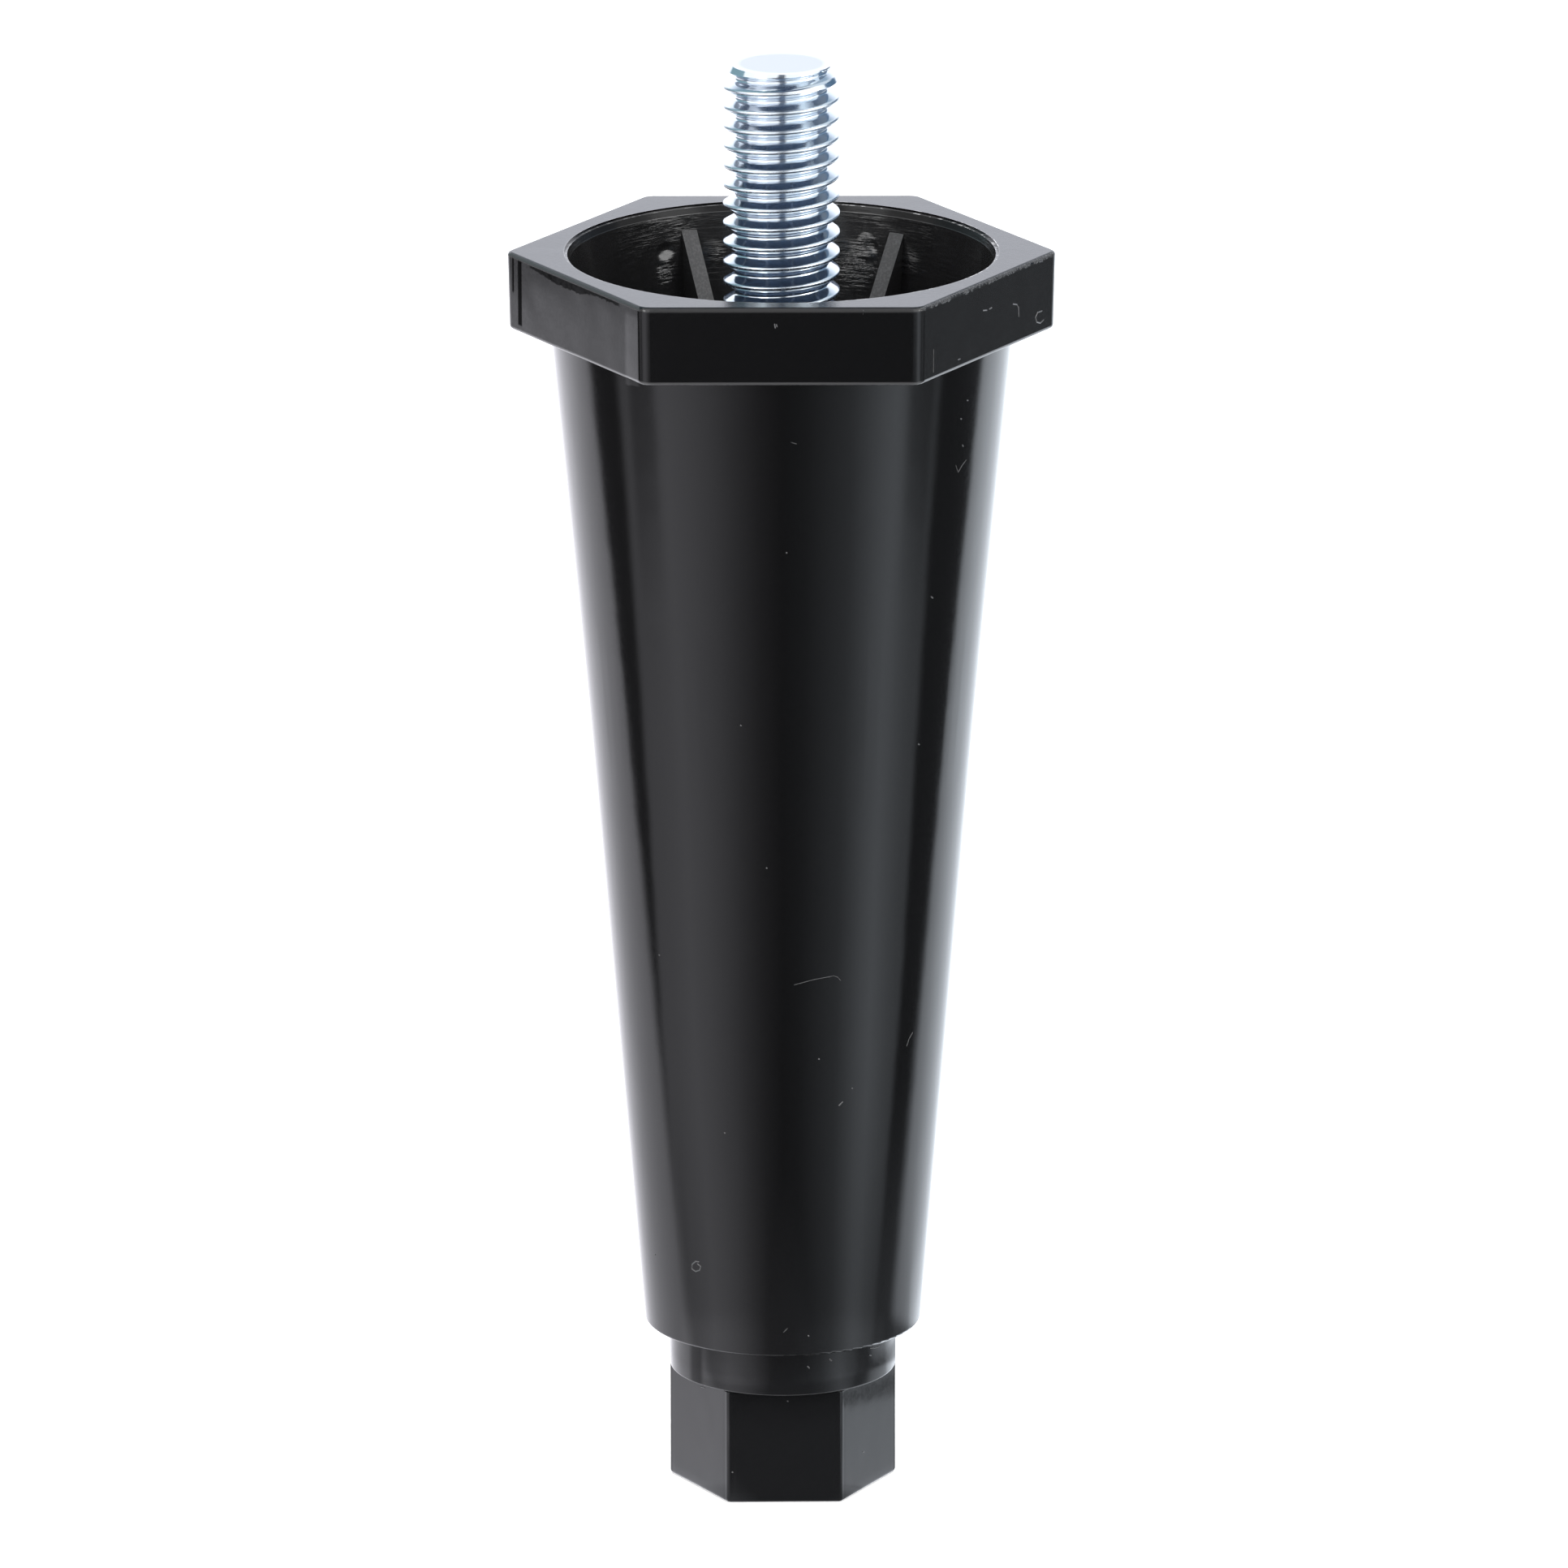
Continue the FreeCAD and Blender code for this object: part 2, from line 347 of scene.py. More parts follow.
def light_boxes(n, away, right, reach, near):
    """Brightness of the light boxes; near the object their sides are a little darker."""
    narrowed = n.times(away, n.step(reach, 0.25, 0.5, 1.0, 1.7))
    widened = n.times(narrowed, n.plus(1.0, n.times(near, 0.2)))
    dip_left = n.times(near, n.band(away, 80.0, 100.0, 9.0), 0.24)
    dip_right = n.times(near, n.band(away, 64.0, 90.0, 14.0), 0.36)
    left_box = n.times(n.line(widened, BOX_LEFT, HALF_TURN), n.minus(1.0, dip_left))
    right_box = n.times(n.line(narrowed, BOX_RIGHT, HALF_TURN),
                        n.minus(1.0, n.times(near, 0.12)), n.minus(1.0, dip_right))
    box = n.math("MAXIMUM", n.mix(right, left_box, right_box), n.times(near, 0.27))
    shade = n.times(n.band(away, 70.0, 80.0, 6.0), n.step(reach, 0.18, 0.235))
    return n.times(box, n.minus(1.0, n.times(shade, 0.56)))


def shadow_ends(n, right, reach, far):
    """Angles at which the side shadows begin and end; they move out with the distance."""
    spread = n.math("LOGARITHM", n.times(reach, 10.0), math.e)
    inner = n.mix(right, n.math("MINIMUM", 89.5, n.plus(89.0, n.times(spread, 12.0))),
                  n.math("MINIMUM", 86.0, n.plus(84.0, n.times(spread, 12.0))))
    inner = n.mix(far, inner, n.mix(right, 94.0, 100.0))
    outer = n.mix(right, n.math("MINIMUM", 117.3, n.plus(93.0, n.times(spread, 19.5))),
                  n.plus(105.3, n.times(spread, 14.5)))
    outer = n.mix(far, outer, 150.0)
    outer = n.mix(n.step(reach, 0.012, 0.026, 1.0, 0.0), outer, 55.0)
    return inner, outer


def white_sweep(n, away, right, reach):
    """Brightness of the white beyond the side shadows."""
    sweep = n.mix(right, n.step(away, 110.0, 150.0, 1.4, 1.7), n.step(away, 110.0, 130.0, 1.5, 1.75))
    near_right = n.times(n.step(away, 117.0, 121.5, 0.82, 1.2), n.step(away, 138.0, 150.0, 1.0, 0.8))
    near_sweep = n.mix(right, 1.05, near_right)
    return n.times(sweep, n.mix(n.step(reach, 0.03, 0.07), near_sweep, 1.0))


def collar_light(n, away, right, reach):
    """Factor on the light at the distances that the foot's collar shows most."""
    left_side = n.times(n.step(away, 5.0, 20.0, 1.0, 1.3), n.step(away, 74.0, 90.0, 1.0, 0.77))
    right_side = n.times(n.step(away, 5.0, 20.0, 1.0, 1.4), n.step(away, 78.0, 95.0, 1.0, 0.2),
                         n.step(away, 100.0, 130.0, 1.0, 1.5))
    shifted = n.plus(reach, n.step(away, 85.0, 150.0, 0.0, 0.0035))
    begun = n.mix(right, n.step(shifted, 0.028, 0.031), n.step(shifted, 0.033, 0.0365))
    on_collar = n.times(begun, n.step(shifted, 0.0415, 0.0445, 1.0, 0.0))
    return n.mix(on_collar, 1.0, n.mix(right, left_side, right_side))


def floor_light(n, x, y):
    """Brightness that gloss sees on the floor."""
    angle, away, right = bearing(n, x, y)
    reach = n.radius(x, y)
    near = n.step(reach, *NEAR, 1.0, 0.0)
    far = n.step(reach, *FAR)
    box = n.mix(far, light_boxes(n, away, right, reach, near), front_gap(n, angle))
    shadow = n.plus(n.times(right, near, 0.25), n.times(right, n.step(reach, 0.25, 0.33), 0.1),
                    n.times(far, n.mix(right, 0.24, 0.05)), 0.1)
    inner, outer = shadow_ends(n, right, reach, far)
    dark = n.step(n.minus(away, inner), -3.0, 3.0)
    soft = n.step(reach, 0.06, 0.2, 6.5, 3.0)
    white = n.step(n.minus(away, outer), n.times(soft, -1.0), soft)
    light = n.mix(white, n.mix(dark, box, shadow), white_sweep(n, away, right, reach))
    return n.times(light, collar_light(n, away, right, reach))


def build_world():
    """White for the camera; for gloss a studio: two front boxes with a narrow gap, dark
    gaps at the sides, a white sweep behind and a blue-grey ceiling."""
    world = bpy.data.worlds.new("studio")
    scene.world = world
    world.use_nodes = True
    n = Nodes(world.node_tree)
    x, y, z = n.split(n.add("ShaderNodeTexCoord").outputs["Generated"])
    angle, away, right = bearing(n, x, y)
    height = n.times(n.math("ARCSINE", z), DEGREES)

    side_boxes = n.plus(n.band(angle, 52.0, 74.0, 8.0), n.band(angle, -56.0, -42.0, 8.0))
    front = n.plus(front_gap(n, angle), n.times(side_boxes, n.band(height, 6.0, 28.0, 7.0), 4.0))
    box = n.add("ShaderNodeCombineColor", {0: front, 1: front, 2: front}).outputs[0]
    box = n.mix_color(n.step(height, 50.0, 62.0), box, CEILING)
    side_right = n.mix_color(n.step(height, 20.0, 34.0), SIDE_RIGHT_LOW, SIDE_RIGHT_HIGH)
    side_gap = n.mix_color(right, SIDE_LEFT, side_right)
    wall = n.mix_color(n.step(height, 18.0, 42.0), WALL_LOW, WALL_MIDDLE)
    wall = n.mix_color(n.step(height, 42.0, 64.0), wall, WALL_TOP)
    edge = n.mix(right, 92.0, 99.0)
    studio = n.mix_color(n.step(away, edge, n.plus(edge, 5.0)), box, side_gap)
    studio = n.mix_color(n.step(away, 138.0, 150.0), studio, wall)

    path = n.add("ShaderNodeLightPath")
    white = n.add("ShaderNodeBackground", {0: WHITE, 1: 1.0}).outputs[0]
    glossy = n.add("ShaderNodeBackground", {0: studio, 1: 1.0}).outputs[0]
    ambient = n.add("ShaderNodeBackground", {0: WHITE, 1: AMBIENT}).outputs[0]
    unseen = n.mix_shader(path.outputs["Is Glossy Ray"], ambient, glossy)
    final = n.mix_shader(path.outputs["Is Camera Ray"], unseen, white)
    n.add("ShaderNodeOutputWorld", {0: final})


def new_material(name):
    """Empty material, and what builds its nodes."""
    material = bpy.data.materials.new(name)
    material.use_nodes = True
    return material, Nodes(material.node_tree)


def floor_material():
    """Pale and matt, but gloss sees the light boxes on it."""
    material, n = new_material("floor")
    path = n.add("ShaderNodeLightPath")
    x, y, _ = n.split(n.add("ShaderNodeTexCoord").outputs["Object"])
    diffuse = n.add("ShaderNodeBsdfDiffuse", {0: FLOOR_COLOR})
    glow = n.add("ShaderNodeEmission", {0: WHITE,
                                        1: n.times(path.outputs["Is Camera Ray"], FLOOR_GLOW)})
    pale = n.add("ShaderNodeAddShader", {0: diffuse.outputs[0], 1: glow.outputs[0]}).outputs[0]
    tint = n.mix_color(n.step(x, -0.02, 0.02), TINT_LEFT, TINT_RIGHT)
    mirrored = n.add("ShaderNodeEmission", {0: tint, 1: floor_light(n, x, y)}).outputs[0]
    final = n.mix_shader(path.outputs["Is Glossy Ray"], pale, mirrored)
    n.add("ShaderNodeOutputMaterial", {0: final})
    return material


def add_floor():
    """Plain floor that keeps the object's shadow; it stays under the foot when the foot is
    screwed out."""
    half, low = FLOOR_HALF * MM, -FLOOR_DROP * MM
    corners = ((-half, -half), (half, -half), (half, half), (-half, half))
    mesh = bpy.data.meshes.new("floor")
    mesh.from_pydata([(x, y, low) for x, y in corners], [], [(0, 1, 2, 3)])
    mesh.materials.append(floor_material())
    floor = link(bpy.data.objects.new("floor", mesh))
    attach(floor, "foot")


def hexagon_radius(corner, edge, angle, turn=0.0):
    """Distance from the axis to a hexagon with rounded corners at multiples of 60 degrees."""
    local = (angle - turn + math.pi / 6) % (math.pi / 3) - math.pi / 6
    arc_centre = corner - edge
    sharp = arc_centre + edge / math.cos(math.pi / 6)
    flat = sharp * math.cos(math.pi / 6) / math.cos(math.pi / 6 - abs(local))
    swing = arc_centre * math.sin(local)
    if abs(swing) >= edge:
        return flat
    return min(flat, arc_centre * math.cos(local) + math.sqrt(edge * edge - swing * swing))


def thread_outline(crest, root, pitch):
    """Points (share of a pitch, radius) over one turn, from a crest's middle to the next."""
    depth = crest - root
    flank_slope = math.tan(FLANK_ANGLE) * pitch
    first_share, first_drop = THREAD_CREST[-1]
    half = list(THREAD_CREST)
    half += [(share, first_drop + (share - first_share) * flank_slope) for share in THREAD_FLANK]
    half += [(share, depth - rise) for share, rise in THREAD_ROOT]
    front = [(share, crest - min(drop, depth)) for share, drop in half]
    back = [(1.0 - share, radius) for share, radius in reversed(front[1:-1])]
    return front + back


def radius_in_outline(outline, phase):
    """Radius of a thread's outline at a share of its turn."""
    phase = phase % 1.0
    points = outline + [(1.0, outline[0][1])]
    for (a, low), (b, high) in zip(points, points[1:]):
        if phase <= b:
            return low + (high - low) * (phase - a) / (b - a)
    return outline[0][1]


def thread_rows(outline, pitch, crest_front, low, high, limit):
    """Rows that follow a right-hand thread, cut off level at its two ends."""
    rows = []
    first = math.floor((low - crest_front) / pitch) - 2
    last = math.ceil((high - crest_front) / pitch) + 1
    for turn in range(first, last + 1):
        for share, _ in outline:
            def place(angle, lead=turn + share):
                z = crest_front + pitch * (lead + (angle - FRONT) / FULL_TURN)
                z = min(max(z, low), high)
                phase = (z - crest_front) / pitch - (angle - FRONT) / FULL_TURN
                return limit(z, radius_in_outline(outline, phase)), z
            rows.append(place)
    return rows


def ring(radius, z):
    """Level row; the radius is a number or depends on the angle."""
    if callable(radius):
        return lambda angle: (radius(angle), z)
    return lambda angle: (radius, z)


def turned_mesh(name, rows, angles, sharp_degrees):
    """Closed skin through rows, each giving (radius, height) at an angle; it starts and
    ends with a flat face."""
    mesh = bpy.data.meshes.new(name)
    verts = []
    for row in rows:
        for angle in angles:
            r, z = row(angle)
            verts.append((r * math.cos(angle) * MM, r * math.sin(angle) * MM, z * MM))
    width = len(angles)
    faces = []
    for i in range(len(rows) - 1):
        for k in range(width - 1):
            a = i * width + k
            faces.append((a, a + 1, a + 1 + width, a + width))
    mesh.from_pydata(verts, [], faces)
    shape = bmesh.new()
    shape.from_mesh(mesh)
    bmesh.ops.remove_doubles(shape, verts=shape.verts, dist=SAME_POINT)
    bmesh.ops.dissolve_degenerate(shape, edges=shape.edges, dist=NO_EDGE)
    bmesh.ops.holes_fill(shape, edges=[e for e in shape.edges if e.is_boundary], sides=0)
    bmesh.ops.recalc_face_normals(shape, faces=shape.faces)
    shape.to_mesh(mesh)
    shape.free()
    mesh.polygons.foreach_set("use_smooth", [True] * len(mesh.polygons))
    mesh.set_sharp_from_angle(angle=math.radians(sharp_degrees))
    return mesh


def even_angles(count, start):
    """Angles round the axis, with the first one again at the end."""
    return [start + FULL_TURN * k / count for k in range(count + 1)]


def build_stud():
    """Steel stud: hexagonal head, plain shank and the rolled thread with a chamfered end."""
    head_top = STUD_LOW + STUD_HEAD_HEIGHT
    corner = STUD_HEAD_FLATS / math.sqrt(3)
    outline = thread_outline(STUD_CREST, STUD_ROOT, STUD_PITCH)

    def head(lift):
        return lambda angle: min(hexagon_radius(corner, STUD_HEAD_EDGE, angle),
                                 corner - STUD_HEAD_CHAMFER + lift)

    def limit(z, radius):
        run_out = STUD_SHANK - STUD_SHANK_EDGE + (z - STUD_THREAD_START) * STUD_RUN_OUT
        below = STUD_HIGH - z
        lead = STUD_END + below * STUD_LEAD
        if z - STUD_THREAD_START < STUD_PITCH:
            radius = max(radius, STUD_SHANK - (z - STUD_THREAD_START) * STUD_FADE)
        radius = max(radius, STUD_END - max(0.0, below - STUD_END_LAND) * STUD_END_SLOPE)
        return min(radius, run_out, lead)

    rows = [ring(head(lift), STUD_LOW + lift)
            for lift in (0.0, STUD_HEAD_CHAMFER / 2, STUD_HEAD_CHAMFER)]
    rows += [ring(head(STUD_HEAD_CHAMFER), head_top), ring(STUD_SHANK + STUD_FILLET, head_top),
             ring(STUD_SHANK, head_top + STUD_FILLET),
             ring(STUD_SHANK, STUD_THREAD_START - STUD_SHANK_EDGE)]
    rows += thread_rows(outline, STUD_PITCH, STUD_CREST_FRONT, STUD_THREAD_START, STUD_HIGH, limit)
    mesh = turned_mesh("threaded_stud", rows, even_angles(STUD_FACETS, BACK), STUD_SHARP)
    return link(bpy.data.objects.new("threaded_stud", mesh))


def foot_angles():
    """Even angles, with more of them round the hexagon's corners."""
    angles = even_angles(FOOT_FACETS, BACK)
    for index in range(6):
        corner = FOOT_HEX_TURN + index * math.pi / 3
        while corner < BACK:
            corner += FULL_TURN
        angles += [corner + math.radians(step) for step in FOOT_CORNER_STEPS]
    ordered = sorted(angles)
    kept = ordered[:1]
    for angle in ordered[1:]:
        if angle - kept[-1] > SAME_ANGLE:
            kept.append(angle)
    return kept


def build_foot():
    """Screw foot: hexagon, round collar, neck and a coarse thread, cored from above."""
    outline = thread_outline(FOOT_CREST, FOOT_ROOT, FOOT_PITCH)
    collar_low = FOOT_HEX_HEIGHT
    edge = FOOT_COLLAR_EDGE

    def hexagon(less):
        return lambda a: hexagon_radius(FOOT_HEX_CORNER, FOOT_HEX_EDGE, a, FOOT_HEX_TURN) - less

    def limit(z, radius):
        lead = FOOT_CREST - FOOT_LEAD_CHAMFER + (FOOT_HIGH - z)
        run_out = FOOT_NECK + (z - FOOT_THREAD_START) * FOOT_RUN_OUT
        return min(radius, lead, run_out)

    base = FOOT_BASE_CHAMFER
    rows = [ring(hexagon(base + FOOT_BASE_RIM), 0.0), ring(hexagon(base), 0.0)]
    rows += [ring(hexagon(base * (1 - math.sin(t))), base * (1 - math.cos(t)))
             for t in (math.pi / 6, math.pi / 3, BACK)]
    rows.append(ring(hexagon(0.0), FOOT_HEX_ROW))
    rows += [ring(hexagon(less), collar_low - below) for less, below in FOOT_HEX_TOP]
    rows += [ring(FOOT_COLLAR - edge * (1 - math.sin(t)), collar_low + edge * (1 - math.cos(t)))
             for t in (0.0, math.pi / 6, math.pi / 3, BACK)]
    rows += [ring(FOOT_COLLAR, collar_low + FOOT_COLLAR_ROW),
             ring(FOOT_COLLAR, LEG_LOW - FOOT_COLLAR_TOP_EDGE),
             ring(FOOT_COLLAR - FOOT_COLLAR_TOP_EDGE, LEG_LOW),
             ring(FOOT_NECK + FOOT_FILLET, LEG_LOW), ring(FOOT_NECK, LEG_LOW + FOOT_FILLET),
             ring(FOOT_NECK, FOOT_THREAD_START - FOOT_NECK_EDGE)]
    rows += thread_rows(outline, FOOT_PITCH, LEG_LOW, FOOT_THREAD_START, FOOT_HIGH, limit)
    low_bore = FOOT_BORE - FOOT_BORE_DRAFT
    rows += [ring(FOOT_BORE + FOOT_BORE_MOUTH, FOOT_HIGH), ring(FOOT_BORE, FOOT_HIGH - FOOT_BORE_MOUTH),
             ring(low_bore, FOOT_BORE_FLOOR + FOOT_BORE_CORNER),
             ring(low_bore - FOOT_BORE_CORNER, FOOT_BORE_FLOOR)]
    mesh = turned_mesh("screw_foot", rows, foot_angles(), FOOT_SHARP)
    return link(bpy.data.objects.new("screw_foot", mesh))


# Colours of the zinc: dull, bright, on the cut end, and of its soft sheen
ZINC_DULL = (0.775, 0.845, 0.885, 1.0)
ZINC_BRIGHT = (0.87, 0.905, 0.915, 1.0)
ZINC_CUT = (0.57, 0.6, 0.65, 1.0)
ZINC_SHEEN = (0.335, 0.5, 0.81, 1.0)

# Colours of the plastic: clean; a pale one for the foot's painted highlight; a pale one for the leg's
# wear and for its painted light and painted highlights; dark and pale for marks whitened by wear; and
# how strongly it bends light
FOOT_BLACK = (0.002, 0.002, 0.0023, 1.0)
FOOT_PAINTED_HIGHLIGHT = (0.07, 0.07, 0.072, 1.0)
LEG_BLACK = (0.002, 0.002, 0.0022, 1.0)
LEG_WEAR_AND_PAINTED_LIGHT = (0.38, 0.38, 0.39, 1.0)
MARK_DARK = (0.03, 0.03, 0.031, 1.0)
MARK_PALE = (0.12, 0.12, 0.123, 1.0)
PLASTIC_IOR = 1.5

# Painted shade: the strip of lowered gloss down the left of the foot's collar, by x
COLLAR_SHADE_STRIP = (-7.25, -6.75)

# Places on the recess wall: rough tool marks with their sizes, and flats that catch light
ROUGH_SPOTS = (((5.9, 15.7, 97.3), 2.4), ((-5.6, 15.9, 98.3), 1.4), ((-9.4, 14.0, 97.2), 1.5),
               ((10.3, 13.3, 98.2), 1.6), ((4.4, 16.2, 98.6), 1.5), ((6.9, 15.4, 99.3), 1.0))
FLAT_SPOTS = ((-9.5, 13.95, 98.7), (7.1, 15.35, 98.75))


def in_millimetres(n):
    """Place on the object in millimetres."""
    coords = n.add("ShaderNodeTexCoord").outputs["Object"]
    return n.add("ShaderNodeVectorMath", {0: coords, "Scale": 1 / MM},
                 operation="SCALE").outputs[0]


def stretched(n, vector, scale):
    """Vector with its x, y and z scaled each by its own factor."""
    return n.add("ShaderNodeVectorMath", {0: vector, 1: scale}, operation="MULTIPLY").outputs[0]


def relief(n, height):
    """Bump from a height in millimetres."""
    return n.add("ShaderNodeBump", {"Strength": 1.0, "Distance": MM, "Height": height}).outputs[0]


def finish_material(n, inputs):
    """Ends a material with one principled shader."""
    shader = n.add("ShaderNodeBsdfPrincipled", inputs)
    n.add("ShaderNodeOutputMaterial", {0: shader.outputs[0]})


def zinc_material():
    """Bright bluish zinc on rolled steel, with the fine lines that rolling leaves."""
    material, n = new_material("zinc_plated_steel")
    mm = in_millimetres(n)
    x, y, z = n.split(mm)
    reach = n.radius(x, y)
    crest = n.step(reach, STUD_CREST - 0.12, STUD_CREST - 0.03)
    cut_end = n.times(n.step(z, STUD_HIGH - 0.1, STUD_HIGH - 0.05), n.step(reach, 3.1, 3.7, 1.0, 0.0))
    grain = n.noise(mm, 2.0, 3.0)
    lines = n.noise(stretched(n, mm, (0.25, 0.25, 7.0)), 1.0, 2.0)
    tint = n.mix_color(n.noise(mm, 0.3), ZINC_DULL, ZINC_BRIGHT)
    tint = n.mix_color(cut_end, tint, ZINC_CUT)
    normal = relief(n, n.plus(n.times(grain, 0.0015), n.times(lines, 0.0025)))
    mirror = n.add("ShaderNodeBsdfPrincipled", {
        "Base Color": tint, "Metallic": 1.0, "Normal": normal,
        "Roughness": n.plus(n.step(grain, 0.3, 0.7, 0.07, 0.12), n.times(crest, 0.16))})
    sheen = n.add("ShaderNodeBsdfPrincipled", {
        "Base Color": ZINC_SHEEN, "Metallic": 1.0, "Normal": normal, "Roughness": 0.55})
    final = n.mix_shader(0.17, mirror.outputs[0], sheen.outputs[0])
    n.add("ShaderNodeOutputMaterial", {0: final})
    return material


def foot_material():
    """Black plastic of the foot: gloss with faint moulding grain, a painted highlight round
    the collar's lower end and painted shade: a strip of lowered gloss down the collar."""
    material, n = new_material("foot_plastic")
    mm = in_millimetres(n)
    grain = n.noise(mm, 3.0, 3.0)
    wave = n.noise(mm, 0.3, 1.0)
    x, y, z = n.split(mm)
    # Painted highlight: a pale speckled line round the collar's lower edge
    collar_edge_highlight = n.band(n.minus(z, FOOT_HEX_HEIGHT), 0.0, 0.1, 0.04)
    # Painted shade: lowered gloss in a strip down the collar's left side darkens its reflection
    strip = n.times(n.band(x, *COLLAR_SHADE_STRIP, 0.45), n.math("LESS_THAN", y, 0.0),
                    n.step(z, FOOT_HEX_HEIGHT, FOOT_HEX_HEIGHT + 0.2))
    color = n.mix_color(n.times(collar_edge_highlight, n.noise(mm, 5.0)), FOOT_BLACK, FOOT_PAINTED_HIGHLIGHT)
    finish_material(n, {"Base Color": color,
                        "Roughness": n.step(grain, 0.3, 0.7, 0.11, 0.17),
                        "IOR": PLASTIC_IOR, "Specular IOR Level": n.mix(strip, 0.5, 0.2),
                        "Normal": relief(n, n.plus(n.times(wave, 0.03), n.times(grain, 0.0012)))})
    return material


def leg_places(n):
    """Where a point of the leg lies: its coordinates, the way it faces and the part of the
    leg that it is on."""
    at = SimpleNamespace(mm=in_millimetres(n))
    at.x, at.y, at.z = n.split(at.mm)
    at.up = n.split(n.add("ShaderNodeNewGeometry").outputs["Normal"])[2]
    at.reach = n.radius(at.x, at.y)
    at.depth = n.minus(FLANGE_TOP, at.z)
    outside = n.plus(WAIST_RADIUS, n.times(n.minus(at.z, WAIST_HEIGHT), SHELL_SLOPE))
    at.inside = n.times(n.math("LESS_THAN", at.reach, RIM_RADIUS + 0.06),
                        n.math("LESS_THAN", at.reach, n.minus(outside, 1.0)))
    at.rib_top = n.times(at.inside, n.band(at.up, 0.35, 0.72, 0.1),
                         n.math("GREATER_THAN", at.depth, 1.0))
    at.wall = n.times(at.inside, n.math("LESS_THAN", at.up, 0.5),
                      n.math("GREATER_THAN", at.depth, 0.21))
    at.top = n.times(n.step(at.up, 0.9, 0.98), n.step(at.depth, 0.1, 0.5, 1.0, 0.0))
    return at


def tool_marks(n, at):
    """Heights on the recess wall: fine strokes, rougher spots and flats."""
    patch = n.noise(at.mm, 0.3, 2.0)
    strokes = n.noise(stretched(n, at.mm, (0.45, 0.45, 3.6)), 1.0, 3.0, 0.6)
    rough_spots = [n.step(n.distance(at.mm, place), 0.0, size, 1.0, 0.0)
                   for place, size in ROUGH_SPOTS]
    flat_spots = [n.times(n.step(n.distance(at.mm, place), 0.1, 1.15, 1.0, 0.0),
                          n.minus(place[2], at.z)) for place in FLAT_SPOTS]
    chatter = n.plus(n.step(patch, 0.35, 0.62, 0.015, 0.045), n.times(n.plus(*rough_spots), 0.21))
    return n.times(n.plus(n.times(strokes, chatter), n.times(n.plus(*flat_spots), 0.36)), at.wall)


def flange_wear_and_light(n, at):
    """Wear and painted light on the flange's sides: on the left face a ragged band under the top
    edge and lines near the corner with lowered gloss, and a strip of raised gloss that paints a
    highlight; chips on the right one; and painted highlights on the eased top edges, the front
    face's top edge and the lower edges."""
    ragged = n.noise(stretched(n, at.mm, (1.6, 1.6, 1.1)), 1.0, 5.0, 0.75)
    side = n.times(n.math("GREATER_THAN", at.reach, RIM_RADIUS + 1.0),
                   n.math("LESS_THAN", at.up, 0.85), n.math("LESS_THAN", at.y, -0.3))
    half_corner = FLANGE_CORNER / 2
    on_right = n.math("GREATER_THAN", at.x, half_corner)
    on_left = n.math("LESS_THAN", at.x, -half_corner - 0.25)
    on_front = n.math("LESS_THAN", n.math("ABSOLUTE", at.x), half_corner)
    along = n.math("DIVIDE", n.plus(at.x, FLANGE_CORNER), half_corner)
    top_edge = n.step(at.depth, 0.3, 0.38, 1.0, 0.0)

    low = n.plus(0.2, n.times(n.band(along, 0.36, 0.5, 0.16), 0.4), n.times(ragged, 0.78))
    blot = n.times(n.band(along, 0.17, 0.82, 0.02), n.step(at.depth, 0.33, 0.37),
                   n.step(n.minus(at.depth, low), -0.03, 0.03, 1.0, 0.0))
    corner_lines = n.plus(
        n.times(n.band(along, 0.076, 0.1, 0.006), n.band(at.depth, 0.4, 5.6, 0.2)),
        n.times(n.band(along, 0.033, 0.042, 0.005), n.band(at.depth, 0.4, 3.0, 0.4)))
    chips = n.times(n.minus(ragged, 0.33), 1.3)
    return SimpleNamespace(
        dulled_gloss=n.times(side, on_left,
                      n.plus(n.times(blot, n.step(ragged, 0.3, 0.6, 1.0, 0.9)), corner_lines)),
        strip=n.times(side, on_left, n.band(along, 0.89, 0.95, 0.03), n.step(at.depth, 0.6, 1.2)),
        worn=n.times(side, on_right, n.step(n.minus(at.depth, chips), 0.0, 0.06, 1.0, 0.0)),
        eased_edge_highlight=n.times(side, n.plus(on_left, n.times(on_right, 0.3)), top_edge),
        front_edge_highlight=n.times(side, on_front, n.step(at.depth, 0.25, 0.45, 1.0, 0.0)),
        lower_edge_highlight=n.times(n.math("GREATER_THAN", at.reach, RIM_RADIUS + 1.25),
                           n.band(at.depth, FLANGE_HEIGHT - 0.25, FLANGE_HEIGHT + 0.05, 0.1)))


